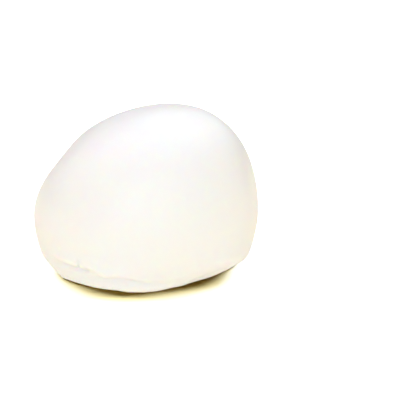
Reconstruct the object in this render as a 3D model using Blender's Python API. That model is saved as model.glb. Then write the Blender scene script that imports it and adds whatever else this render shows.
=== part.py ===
"""A fresh mozzarella ball: one soft, hand-shaped lump of curd that has settled on a flat underside.

Metres, +Z up. The origin is the bottom centre of the ball's box. Its long side lies along X, and the
folded side of its underside faces -Y. Each meridian of the skin is a quarter curve from the crown out
to the widest line, and another from there in to the edge of the flat foot.
"""

import math

import bmesh
import bpy
from mathutils import Matrix, Vector

# The crown, the widest line and the flat foot, each given from one upright axis.
CROWN = Vector((0.0101, 0.0020, 0.0620))
WIDEST_HEIGHT = 0.0213
# An oval is its middle, its two half sizes, how far it is turned, and how much it swells
# at three even corners, with the direction of one of them.
WIDEST_OVAL = (Vector((0, 0)), (0.0423, 0.0386), 0, 0.02, 98)
FOOT_OVAL = (Vector((-0.0004, 0.0000)), (0.0342, 0.0292), 20, 0.075, 269)
OVAL_CORNERS = 3

# Roundness of the meridian above and below the widest line (2 is an ellipse, more is squarer), and
# how much it grows toward +X above it and toward -X below it.
UPPER_ROUNDNESS = 2.09
UPPER_ROUNDNESS_TO_RIGHT = 0.13
LOWER_ROUNDNESS = 1.73
LOWER_ROUNDNESS_TO_LEFT = 0.15

# Soft dents and swellings left by the hand: (azimuth, rise, half width, half height, depth),
# with the angles in degrees seen from the middle of the widest line. A swelling has a negative depth.
DENTS = (
    (180, 32.5, 20, 20, 0.0021),
    (328, -17, 18, 7, -0.0036),
    (64, 24, 22, 22, 0.0012),
    (122, 50, 18, 18, 0.0007),
)
DENT_FADE_HEIGHT = 0.003

# The fold low on the front: a crease, a rolled edge above it, and one short pleat across it.
# Azimuths are in degrees.
CREASE_HEIGHTS = (0.0086, 0.0054)
CREASE_TURN = (229, 249)
CREASE_START = (208, 226)
CREASE_END = (262, 306)
CREASE_DEPTH = 0.0009
CREASE_HALF_WIDTH = 0.0014
ROLL_RISE = 0.0004
ROLL_ABOVE_CREASE = 0.0026
ROLL_HALF_WIDTH = 0.0018
PLEAT_AZIMUTH = 235.5
PLEAT_HEIGHT = 0.0083
PLEAT_DEPTH = 0.0013
PLEAT_HALF_ANGLE = 4
PLEAT_HALF_HEIGHT = 0.0028

# Facets of the mesh.
COLUMNS = 90
UPPER_RINGS = 28
LOWER_RINGS = 24

CURD_WHITE = (0.93, 0.91, 0.84, 1.0)
CURD_ROUGHNESS = 0.35
CURD_GLOW = 0.3
CURD_GLOW_DEPTH = 0.004


def clear_scene():
    for item in list(bpy.data.objects):
        bpy.data.objects.remove(item)


def bell(distance, half_width):
    return math.exp(-((distance / half_width) ** 2))


def rise_between(value, ends):
    """0 before the first end, 1 past the second, with an even S curve between them."""
    share = min(1.0, max(0.0, (value - ends[0]) / (ends[1] - ends[0])))
    return share * share * (3 - 2 * share)


def direction(azimuth, rise):
    """The unit vector at an azimuth and a rise above the level, both in degrees."""
    level = math.cos(math.radians(rise))
    across = math.cos(math.radians(azimuth))
    along = math.sin(math.radians(azimuth))
    return Vector((level * across, level * along, math.sin(math.radians(rise))))


def oval_point(oval, azimuth):
    middle, half_sizes, turned, corner, corner_azimuth = oval
    along = azimuth - math.radians(turned)
    grown = 1 + corner * math.cos(OVAL_CORNERS * (azimuth - math.radians(corner_azimuth)))
    place = Vector((half_sizes[0] * math.cos(along), half_sizes[1] * math.sin(along))) * grown
    return middle + Matrix.Rotation(math.radians(turned), 2) @ place


def body_point(azimuth, ring):
    """The plain body: ring 0 is the crown, UPPER_RINGS the widest line, the last ring the foot's edge."""
    widest = oval_point(WIDEST_OVAL, azimuth)
    if ring <= UPPER_RINGS:
        turn = math.pi / 2 * ring / UPPER_RINGS
        power = 2 / (UPPER_ROUNDNESS + UPPER_ROUNDNESS_TO_RIGHT * math.cos(azimuth))
        place = CROWN.xy.lerp(widest, math.sin(turn) ** power)
        climb = max(0.0, math.cos(turn)) ** power
        return Vector((place.x, place.y, WIDEST_HEIGHT + (CROWN.z - WIDEST_HEIGHT) * climb))
    turn = math.pi / 2 * (ring - UPPER_RINGS) / LOWER_RINGS
    power = 2 / (LOWER_ROUNDNESS - LOWER_ROUNDNESS_TO_LEFT * math.cos(azimuth))
    place = oval_point(FOOT_OVAL, azimuth).lerp(widest, max(0.0, math.cos(turn)) ** power)
    return Vector((place.x, place.y, WIDEST_HEIGHT * (1 - math.sin(turn) ** power)))


def dent(point):
    """Presses each dent in along its own direction, fading out just above the floor."""
    from_middle = point - Vector((0, 0, WIDEST_HEIGHT))
    point_azimuth = math.degrees(math.atan2(from_middle.y, from_middle.x))
    point_rise = math.degrees(math.atan2(from_middle.z, from_middle.xy.length))
    fade = min(1.0, point.z / DENT_FADE_HEIGHT)
    pressed = point.copy()
    for azimuth, rise, half_width, half_height, depth in DENTS:
        around = (point_azimuth - azimuth + 180) % 360 - 180
        across = bell(around * math.cos(math.radians(point_rise)), half_width)
        pressed -= direction(azimuth, rise) * depth * fade * across * bell(point_rise - rise, half_height)
    return pressed


def fold(point, azimuth):
    """Draws in the crease and the pleat, and rolls the skin out just above the crease."""
    degrees = math.degrees(azimuth) % 360
    strength = rise_between(degrees, CREASE_START) * (1 - rise_between(degrees, CREASE_END))
    high, low = CREASE_HEIGHTS
    above_crease = point.z - high - (low - high) * rise_between(degrees, CREASE_TURN)
    crease = CREASE_DEPTH * strength * bell(above_crease, CREASE_HALF_WIDTH)
    roll = ROLL_RISE * strength * bell(above_crease - ROLL_ABOVE_CREASE, ROLL_HALF_WIDTH)
    pleat = PLEAT_DEPTH * bell(degrees - PLEAT_AZIMUTH, PLEAT_HALF_ANGLE)
    pleat *= bell(point.z - PLEAT_HEIGHT, PLEAT_HALF_HEIGHT)
    return point + direction(degrees, 0) * (roll - crease - pleat)


def skin_point(azimuth, ring):
    point = body_point(azimuth, ring)
    if ring < UPPER_RINGS + LOWER_RINGS:
        point = fold(dent(point), azimuth)
    return point


def center_on_box(mesh):
    """Puts the origin at the bottom centre of the box."""
    across = [v.co.x for v in mesh.verts]
    along = [v.co.y for v in mesh.verts]
    shift = Vector((min(across) + max(across), min(along) + max(along), 0)) / 2
    bmesh.ops.translate(mesh, vec=-shift, verts=mesh.verts)


def shape_ball(mesh):
    """Turns a round ball of unit radius into the settled, folded one, ring by ring."""
    rings = UPPER_RINGS + LOWER_RINGS + 1
    bmesh.ops.create_uvsphere(mesh, u_segments=COLUMNS, v_segments=rings, radius=1)
    for v in mesh.verts:
        ring = round(rings * math.acos(max(-1.0, min(1.0, v.co.z))) / math.pi)
        if ring == rings:
            v.co = FOOT_OVAL[0].to_3d()
        else:
            v.co = skin_point(math.atan2(v.co.y, v.co.x), ring)
    center_on_box(mesh)
    bmesh.ops.triangulate(mesh, faces=mesh.faces)
    bmesh.ops.recalc_face_normals(mesh, faces=mesh.faces)


def curd_material():
    curd = bpy.data.materials.new("fresh_curd")
    curd.use_nodes = True
    shader = curd.node_tree.nodes["Principled BSDF"]
    shader.inputs["Base Color"].default_value = CURD_WHITE
    shader.inputs["Roughness"].default_value = CURD_ROUGHNESS
    shader.inputs["Metallic"].default_value = 0.0
    shader.inputs["Subsurface Weight"].default_value = CURD_GLOW
    shader.inputs["Subsurface Scale"].default_value = CURD_GLOW_DEPTH
    return curd


def make_ball():
    mesh = bmesh.new()
    shape_ball(mesh)
    data = bpy.data.meshes.new("mozzarella_ball")
    mesh.to_mesh(data)
    mesh.free()
    data.shade_smooth()
    data.materials.append(curd_material())
    ball = bpy.data.objects.new("mozzarella_ball", data)
    bpy.context.scene.collection.objects.link(ball)


clear_scene()
make_ball()
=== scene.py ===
import math

import bpy
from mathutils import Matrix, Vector


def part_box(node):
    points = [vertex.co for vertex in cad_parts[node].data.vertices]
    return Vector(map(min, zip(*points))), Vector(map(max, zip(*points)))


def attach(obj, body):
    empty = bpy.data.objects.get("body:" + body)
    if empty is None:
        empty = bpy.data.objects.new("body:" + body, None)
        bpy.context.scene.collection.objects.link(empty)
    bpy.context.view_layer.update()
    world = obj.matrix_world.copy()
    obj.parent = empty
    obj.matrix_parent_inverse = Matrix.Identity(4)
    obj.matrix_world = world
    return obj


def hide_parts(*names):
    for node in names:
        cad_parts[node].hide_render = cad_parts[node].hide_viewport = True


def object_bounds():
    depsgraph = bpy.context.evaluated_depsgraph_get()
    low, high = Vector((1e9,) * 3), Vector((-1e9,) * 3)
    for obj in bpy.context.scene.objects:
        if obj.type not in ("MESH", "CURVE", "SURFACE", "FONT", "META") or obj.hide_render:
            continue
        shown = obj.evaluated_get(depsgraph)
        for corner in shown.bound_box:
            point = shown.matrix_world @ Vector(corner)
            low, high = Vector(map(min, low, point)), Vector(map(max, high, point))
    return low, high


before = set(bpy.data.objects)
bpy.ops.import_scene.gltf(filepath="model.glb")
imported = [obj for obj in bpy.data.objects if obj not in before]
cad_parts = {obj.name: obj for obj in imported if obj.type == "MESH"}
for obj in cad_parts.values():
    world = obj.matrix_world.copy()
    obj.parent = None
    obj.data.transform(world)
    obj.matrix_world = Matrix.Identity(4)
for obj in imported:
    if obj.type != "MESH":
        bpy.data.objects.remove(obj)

cadLow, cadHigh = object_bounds()
cadSize = cadHigh - cadLow


def deselectAll():
    if bpy.context.mode != "OBJECT":
        bpy.ops.object.mode_set(mode="OBJECT")
    bpy.ops.object.select_all(action="DESELECT")


def workOn(piece):
    deselectAll()
    piece.select_set(True)
    bpy.context.view_layer.objects.active = piece


def applyModifier(piece, kind, **settings):
    workOn(piece)
    bpy.ops.object.modifier_add(type=kind)
    step = piece.modifiers[-1]
    for name, value in settings.items():
        setattr(step, name, value)
    bpy.ops.object.modifier_apply(modifier=step.name)


def settlePlace(piece):
    workOn(piece)
    bpy.ops.object.transform_apply(location=True, rotation=True, scale=True)


def pickVertices(piece, wanted):  # call it in edit mode, it comes back to edit mode
    bpy.ops.mesh.select_mode(type="VERT")
    bpy.ops.mesh.select_all(action="DESELECT")
    bpy.ops.object.mode_set(mode="OBJECT")
    for vertex in piece.data.vertices:
        vertex.select = wanted(vertex.co)
    bpy.ops.object.mode_set(mode="EDIT")


body = {
    "node": "mozzarella_ball",
    "cuts": (59, 1),      # cuts along each side of the starting block, round by round
    "relaxRounds": 30,    # rounds of smoothing after the block has taken the ball's form
    "plump": 0.00013,     # what that smoothing takes off is put back
    "seatHeight": 0.00012,
}


def makeBody():
    low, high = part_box(body["node"])
    deselectAll()
    bpy.ops.mesh.primitive_cube_add(size=1, location=(low + high) / 2, scale=high - low)
    ball = bpy.context.object
    ball.name = "mozzarellaBall"
    settlePlace(ball)
    bpy.ops.object.mode_set(mode="EDIT")
    bpy.ops.mesh.select_all(action="SELECT")
    for cuts in body["cuts"]:
        bpy.ops.mesh.subdivide(number_cuts=cuts)
    bpy.ops.object.mode_set(mode="OBJECT")
    bpy.context.scene.cursor.location = (low + high) / 2
    bpy.ops.object.origin_set(type="ORIGIN_CURSOR")
    applyModifier(ball, "CAST", cast_type="SPHERE", factor=1.0)
    ball.scale = [wide / grown for wide, grown in zip(high - low, ball.dimensions)]
    settlePlace(ball)
    applyModifier(ball, "SHRINKWRAP", target=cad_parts[body["node"]],
                  wrap_method="PROJECT", use_negative_direction=True)
    bpy.ops.object.mode_set(mode="EDIT")
    bpy.ops.mesh.select_all(action="SELECT")
    bpy.ops.mesh.vertices_smooth(factor=0.5, repeat=body["relaxRounds"])
    bpy.ops.mesh.normals_make_consistent(inside=False)
    bpy.ops.object.mode_set(mode="OBJECT")
    applyModifier(ball, "DISPLACE", strength=body["plump"], mid_level=0)
    return ball


def seatBall(ball):  # presses the underside flat on the floor
    workOn(ball)
    bpy.ops.object.mode_set(mode="EDIT")
    pickVertices(ball, lambda place: place.z < body["seatHeight"])
    bpy.ops.transform.resize(value=(1, 1, 0), center_override=(0, 0, 0))
    bpy.ops.object.mode_set(mode="OBJECT")


# Each stroke runs over the skin through (azimuth in degrees, height in mm, strength) points. It presses the
# skin out by "out" and down by "sag", both in mm, over "reach" mm to each side.
folds = {
    "leftTuck": {"reach": 2.8, "out": -1.8, "sag": 0,
                 "path": [(172, 2.5, 0), (182, 2.2, 0.8), (191, 2, 1), (199, 2, 1), (206, 1.8, 0)]},
    "leftSpread": {"reach": 2.0, "out": 0.6, "sag": 0, "path": [(205, 1.2, 0), (211, 1, 1), (220, 1, 0.4), (230, 1.2, 0)]},
    "rightTuck": {"reach": 2.6, "out": -1.4, "sag": 0,
                  "path": [(298, 1.6, 0), (306, 1.6, 0.8), (314, 2, 1), (321, 3.2, 0.6), (328, 5, 0)]},
    "rightSpread": {"reach": 2.4, "out": 1.0, "sag": 0,
                    "path": [(346, 1.2, 0), (356, 1, 0.6), (366, 1, 1), (378, 1, 1), (388, 1.2, 0)]},
    "frontSpread": {"reach": 2.6, "out": 0.9, "sag": 0,
                    "path": [(254, 1.2, 0), (262, 1, 0.9), (270, 1, 1), (278, 1, 0.8), (290, 1.2, 0)]},
    "underLip": {"reach": 2.1, "out": -0.9, "sag": 0,
                 "path": [(212, 4.4, 0), (220, 4.8, 0.8), (232, 4.7, 1), (244, 4.2, 1), (254, 3.4, 0.9), (264, 2.8, 0.5),
                          (276, 2.2, 0)]},
    "leftLobe": {"reach": 2.4, "out": 0.8, "sag": 0.5,
                 "path": [(221, 11.2, 0.4), (227.5, 11.4, 1), (230.5, 10.6, 1), (231.8, 9.4, 0.6)]},
    "rightLobe": {"reach": 2.1, "out": 0.8, "sag": 0.5,
                  "path": [(235.8, 10, 0.7), (238.5, 10.6, 1), (241, 10.8, 1), (243.5, 10.2, 1), (245.5, 9.2, 0.8),
                           (247.5, 8, 0.5)]},
    "lip": {"reach": 1.8, "out": 0.6, "sag": 0.45,
            "path": [(246, 8.4, 0.4), (248.6, 6.8, 0.9), (252.4, 7.2, 1), (256, 7.5, 1), (260, 7.3, 0.9), (265, 6.3, 0.8),
                     (270, 5.5, 0.7), (276, 5.1, 0.6), (288, 5.1, 0.35), (302, 5.6, 0)]},
    "crease": {"reach": 1.0, "out": -1.0, "sag": -0.15,
               "path": [(214, 7, 0.2), (221, 7.6, 0.7), (225, 7.4, 0.9), (229, 6.8, 1), (233, 7.5, 1), (236, 7.6, 1.1),
                        (239.5, 7.7, 1), (243, 6.7, 1), (246, 5.4, 1), (250, 5.2, 0.9), (255, 5.6, 0.8), (260, 5.2, 0.7),
                        (265, 4.2, 0.6), (270, 3.5, 0.5), (278, 3.2, 0.35), (288, 3.4, 0.15), (298, 3.9, 0)]},
    "pocket": {"reach": 1.5, "out": -0.8, "sag": -0.2, "path": [(233.6, 8.1, 1), (236.4, 7.8, 1), (238.6, 8.1, 0.5)]},
    "pleat": {"reach": 0.9, "out": -1.0, "sag": 0,
              "path": [(234.4, 12.4, 0), (234, 10.8, 0.7), (233.8, 9.2, 1), (234.2, 7.8, 1), (235.2, 6, 0)]},
    "backLip": {"reach": 2.2, "out": 0.6, "sag": 0.4,
                "path": [(18, 8.4, 0), (34, 8.8, 0.6), (52, 9.6, 0.9), (74, 9.4, 1), (88, 8.2, 0.8), (112, 8.6, 0.7),
                         (134, 9.6, 0.5), (156, 9, 0)]},
    "backCrease": {"reach": 1.0, "out": -0.8, "sag": -0.1,
                   "path": [(22, 5.6, 0), (36, 5.8, 0.6), (54, 6.6, 0.9), (74, 6.4, 1), (88, 5.2, 0.9), (112, 5.6, 0.7),
                            (134, 6.6, 0.4), (154, 6.4, 0)]},
    "backPleat": {"reach": 0.9, "out": -0.8, "sag": 0,
                  "path": [(86, 12, 0), (84.6, 9.6, 0.8), (84.8, 7.4, 1), (86, 5.4, 0)]},
    "sideDimple": {"reach": 5.0, "out": -0.5, "sag": 0, "path": [(8, 30, 0.5), (14, 34, 1), (22, 38, 0.4)]},
    "rearDimple": {"reach": 6.0, "out": -0.5, "sag": 0, "path": [(140, 24, 0.4), (148, 28, 1), (156, 31, 0.5)]},
}


def skinPoint(ball, azimuth, height):
    outward = Vector((math.cos(math.radians(azimuth)), math.sin(math.radians(azimuth)), 0))
    start = outward * cadSize.length + Vector((0, 0, height / 1000))
    found, place, normal, face = ball.ray_cast(start, -outward)
    return place


def strokeWeight(place, spots, reach):
    best = 0
    for (start, startStrength), (end, endStrength) in zip(spots, spots[1:]):
        run = end - start
        share = min(1, max(0, (place - start).dot(run) / run.length_squared))
        gap = (place - start - run * share).length / reach
        if gap < 2.6:
            best = max(best, math.exp(-gap * gap) * (startStrength + (endStrength - startStrength) * share))
    return best


def foldSkin(ball, name):
    stroke = folds[name]
    reach = stroke["reach"] / 1000
    workOn(ball)
    spots = [(skinPoint(ball, azimuth, height), strength) for azimuth, height, strength in stroke["path"]]
    middle = sum((place for place, strength in spots), Vector()) / len(spots)
    span = max((place - middle).length for place, strength in spots) + 2.6 * reach
    group = ball.vertex_groups.new(name=name)
    for vertex in ball.data.vertices:
        if (vertex.co - middle).length < span:
            weight = strokeWeight(vertex.co, spots, reach)
            if weight > 0.002:
                group.add([vertex.index], weight / 1.2, "REPLACE")
    if stroke["sag"]:
        applyModifier(ball, "DISPLACE", vertex_group=name, direction="Z", mid_level=0,
                      strength=-stroke["sag"] * 1.2 / 1000)
    applyModifier(ball, "DISPLACE", vertex_group=name, direction="NORMAL", mid_level=0,
                  strength=stroke["out"] * 1.2 / 1000)


# Slow, uneven waves of a hand-drawn skin: how long they are and how high, in metres.
waves = {
    "broad": {"length": 0.020, "height": 0.00035, "seed": 0},
    "small": {"length": 0.006, "height": 0.00007, "seed": 3},
}


def waveSkin(ball, name):
    wave = waves[name]
    drift = bpy.data.textures.new(name + "Wave", type="CLOUDS")
    drift.noise_scale = wave["length"]
    drift.noise_depth = 1
    workOn(ball)
    ball.location.z = wave["seed"]
    applyModifier(ball, "DISPLACE", texture=drift, texture_coords="LOCAL", strength=wave["height"], mid_level=0.5)
    ball.location.z = 0


curd = {
    "milk": (0.93, 0.925, 0.90, 1),
    "cream": (0.925, 0.91, 0.868, 1),
    "patchSize": 45,       # higher is finer
    "strandSize": 160,     # the drawn strands of the curd
    "strandStretch": (1, 1, 0.16),
    "dimpleSize": 260,
    "dimpleHeight": 0.00006,
    "grainSize": 2200,
    "grainHeight": 0.000012,
    "wet": 0.30,           # roughness where the whey film is thick, and where it has dried
    "dry": 0.46,
    "glow": 1.0,
    "glowRadius": (1.0, 0.7, 0.45),
    "glowDepth": 0.0011,
    "film": 0.12,
    "filmRoughness": 0.18,
}


def makeCurd():
    finish = bpy.data.materials.new("freshCurd")
    finish.use_nodes = True
    nodes, links = finish.node_tree.nodes, finish.node_tree.links
    shader = nodes["Principled BSDF"]
    where = nodes.new("ShaderNodeTexCoord").outputs["Object"]

    def noise(size, detail, place=where):
        texture = nodes.new("ShaderNodeTexNoise")
        texture.inputs["Scale"].default_value = size
        texture.inputs["Detail"].default_value = detail
        links.new(place, texture.inputs["Vector"])
        return texture.outputs["Fac"]

    def spread(value, low, high):
        span = nodes.new("ShaderNodeMapRange")
        span.inputs["From Min"].default_value = 0.3
        span.inputs["From Max"].default_value = 0.7
        span.inputs["To Min"].default_value = low
        span.inputs["To Max"].default_value = high
        links.new(value, span.inputs["Value"])
        return span.outputs["Result"]

    def raised(height, size, under=None):
        bump = nodes.new("ShaderNodeBump")
        bump.inputs["Strength"].default_value = 1
        bump.inputs["Distance"].default_value = size
        links.new(height, bump.inputs["Height"])
        if under:
            links.new(under, bump.inputs["Normal"])
        return bump.outputs["Normal"]

    drawn = nodes.new("ShaderNodeMapping")  # strands run up and down the ball
    drawn.inputs["Scale"].default_value = curd["strandStretch"]
    links.new(where, drawn.inputs["Vector"])
    strands = noise(curd["strandSize"], 4, drawn.outputs["Vector"])
    patches = noise(curd["patchSize"], 3)
    both = nodes.new("ShaderNodeMix")
    both.inputs["Factor"].default_value = 0.35
    links.new(patches, both.inputs["A"])
    links.new(strands, both.inputs["B"])
    tint = nodes.new("ShaderNodeMix")
    tint.data_type = "RGBA"
    tint.inputs["A"].default_value = curd["milk"]
    tint.inputs["B"].default_value = curd["cream"]
    links.new(spread(both.outputs["Result"], 0, 1), tint.inputs["Factor"])
    links.new(tint.outputs["Result"], shader.inputs["Base Color"])
    links.new(spread(noise(curd["patchSize"] * 3, 3), curd["wet"], curd["dry"]), shader.inputs["Roughness"])
    dimples = raised(noise(curd["dimpleSize"], 3), curd["dimpleHeight"])
    strandLines = raised(strands, curd["dimpleHeight"], dimples)
    links.new(raised(noise(curd["grainSize"], 2), curd["grainHeight"], strandLines), shader.inputs["Normal"])
    shader.inputs["Subsurface Weight"].default_value = curd["glow"]
    shader.inputs["Subsurface Radius"].default_value = curd["glowRadius"]
    shader.inputs["Subsurface Scale"].default_value = curd["glowDepth"]
    shader.inputs["Coat Weight"].default_value = curd["film"]
    shader.inputs["Coat Roughness"].default_value = curd["filmRoughness"]
    return finish


studio = {
    "lens": 100,
    "lookDown": 14,        # degrees above the floor
    "distance": 0.422,
    "aim": (0.0202, -0.0007, 0.0257),
    "roomGlow": (0.07, 0.032, 0.004),   # what fills the deepest shadow
    "table": (0.97, 0.965, 0.95, 1),
    "bounce": (0.6, 0.57, 0.49, 1),
    "bounceDepth": 0.010,
}

# Each lamp is a far, soft one: where it stands (azimuth and height) and how wide it looks, in degrees.
ballLamps = {
    "overhead": {"from": (90, 90), "spread": 80, "power": 1.3, "colour": (0.66, 0.73, 1)},
    "backHigh": {"from": (60, 52), "spread": 60, "power": 0.75, "colour": (0.85, 0.95, 1)},
    "backWide": {"from": (118, 34), "spread": 120, "power": 0.77, "colour": (1, 1, 1)},
    "frontWide": {"from": (270, 30), "spread": 150, "power": 0.95, "colour": (0.95, 1, 0.9)},
    "frontLow": {"from": (270, 12), "spread": 60, "power": 1.5, "colour": (0.74, 0.83, 1)},
    "leftHigh": {"from": (185, 48), "spread": 60, "power": 0.36, "colour": (1, 0.62, 0.25)},
    "rightLow": {"from": (0, 15), "spread": 50, "power": 0.3, "colour": (1, 0.65, 0.15)},
}
tableLamps = {
    "tableLeft": {"from": (160, 42), "spread": 20, "power": 4.2, "colour": (1, 0.93, 0.52)},
    "tableBack": {"from": (140, 42), "spread": 18, "power": 3.1, "colour": (0.26, 0.45, 1)},
    "tableRight": {"from": (14, 35), "spread": 20, "power": 4.8, "colour": (1, 0.93, 0.52)},
    "tableBackRight": {"from": (30, 40), "spread": 20, "power": 3.3, "colour": (0.28, 0.46, 1)},
    "tableFront": {"from": (230, 15), "spread": 16, "power": 0.8, "colour": (1, 0.78, 0.1)},
}
bounceLamp = {"from": (90, 80), "spread": 150, "power": 6.0, "colour": (1, 1, 1)}


def makeCamera():
    deselectAll()
    bpy.ops.object.camera_add()
    camera = bpy.context.object
    down = math.radians(studio["lookDown"])
    back = Vector((0, -math.cos(down), math.sin(down)))
    camera.location = Vector(studio["aim"]) + back * studio["distance"]
    camera.rotation_euler = (math.radians(90) - down, 0, 0)
    camera.data.lens = studio["lens"]
    camera.data.sensor_width = 36
    camera.data.clip_start = 0.01
    bpy.context.scene.camera = camera
    return camera


def makeFloor(name, height, colour):
    deselectAll()
    bpy.ops.mesh.primitive_circle_add(vertices=96, radius=8, fill_type="NGON", location=(0, 0, height))
    floor = bpy.context.object
    floor.name = name
    settlePlace(floor)
    finish = bpy.data.materials.new(name + "Finish")
    finish.use_nodes = True
    shader = finish.node_tree.nodes["Principled BSDF"]
    shader.inputs["Base Color"].default_value = colour
    shader.inputs["Roughness"].default_value = 1
    shader.inputs["Specular IOR Level"].default_value = 0
    floor.data.materials.append(finish)
    return floor


def makeSurroundings():
    world = bpy.data.worlds.new("surroundings")
    bpy.context.scene.world = world
    world.use_nodes = True
    world.node_tree.nodes["Background"].inputs["Color"].default_value = (*studio["roomGlow"], 1)


def makeLamp(name, lamp, lit):  # it lights one thing only
    azimuth, height = (math.radians(angle) for angle in lamp["from"])
    deselectAll()
    bpy.ops.object.light_add(type="SUN")
    sun = bpy.context.object
    sun.name = name
    toward = Vector((math.cos(azimuth) * math.cos(height), math.sin(azimuth) * math.cos(height), math.sin(height)))
    sun.rotation_euler = toward.to_track_quat("Z", "Y").to_euler()
    sun.data.angle = math.radians(lamp["spread"])
    sun.data.energy = lamp["power"]
    sun.data.color = lamp["colour"]
    receivers = bpy.data.collections.new(name + "Lights")
    receivers.objects.link(lit)
    sun.light_linking.receiver_collection = receivers
    return sun.data


camera = makeCamera()
print("camera set")

ball = makeBody()
for name in waves:
    waveSkin(ball, name)
for name in folds:
    foldSkin(ball, name)
seatBall(ball)
bpy.ops.object.shade_smooth()
ball.data.materials.append(makeCurd())
print("ball shaped:", len(ball.data.polygons), "faces")

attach(ball, "root")
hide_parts("mozzarella_ball")
ball.visible_diffuse = False  # its own bright underside would wash out the shadow it stands in

shownFloor = makeFloor("shownFloor", 0.0, studio["table"])
shownFloor.visible_diffuse = False
shownFloor.visible_glossy = False
shownFloor.visible_shadow = False
bounceFloor = makeFloor("bounceFloor", -studio["bounceDepth"], studio["bounce"])
bounceFloor.visible_camera = False
makeSurroundings()
for name, lamp in ballLamps.items():
    makeLamp(name, lamp, ball)
for name, lamp in tableLamps.items():
    makeLamp(name, lamp, shownFloor).cycles.use_multiple_importance_sampling = False  # keeps its shadow whole
makeLamp("bounceLamp", bounceLamp, bounceFloor)
bpy.context.scene.view_settings.view_transform = "Standard"
print("studio set")
